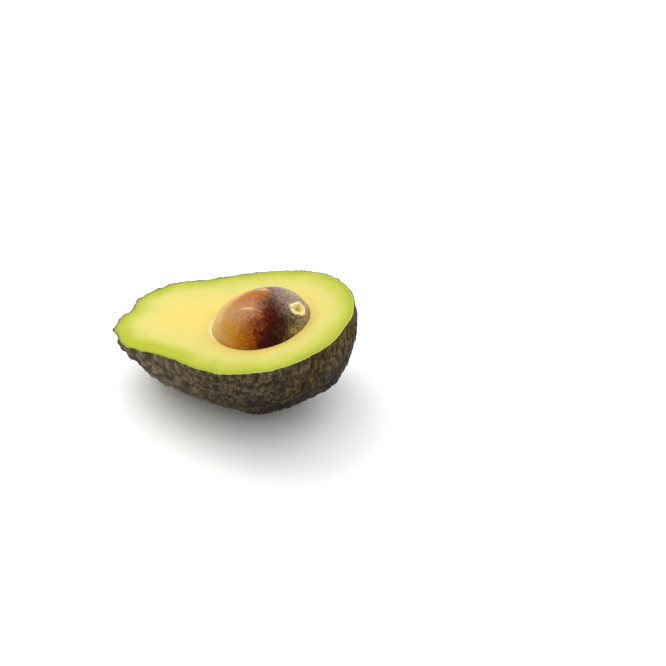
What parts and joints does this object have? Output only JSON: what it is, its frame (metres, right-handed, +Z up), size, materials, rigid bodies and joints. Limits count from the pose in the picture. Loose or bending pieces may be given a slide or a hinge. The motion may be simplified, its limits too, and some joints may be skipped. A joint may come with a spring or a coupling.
{
  "type": "avocado half",
  "caption": "Pear-shaped avocado cut lengthwise, lying on its pebbly back with the cut face up and the seed still in its hollow.",
  "frame": {"origin": "the spot on the peel that the half rests on, under its belly", "axes": "+X along the fruit towards its broad end, +Z up; the cut face is pitched 11 degrees about Y with the neck end low"},
  "size_m": [0.0988, 0.0713, 0.0489],
  "materials": {
    "skin": "satin",
    "flesh": "satin",
    "seed": "gloss"
  },
  "bodies": {
    "root": {"skin": "skin", "flesh": "flesh", "seed": "seed"}
  },
  "joints": []
}
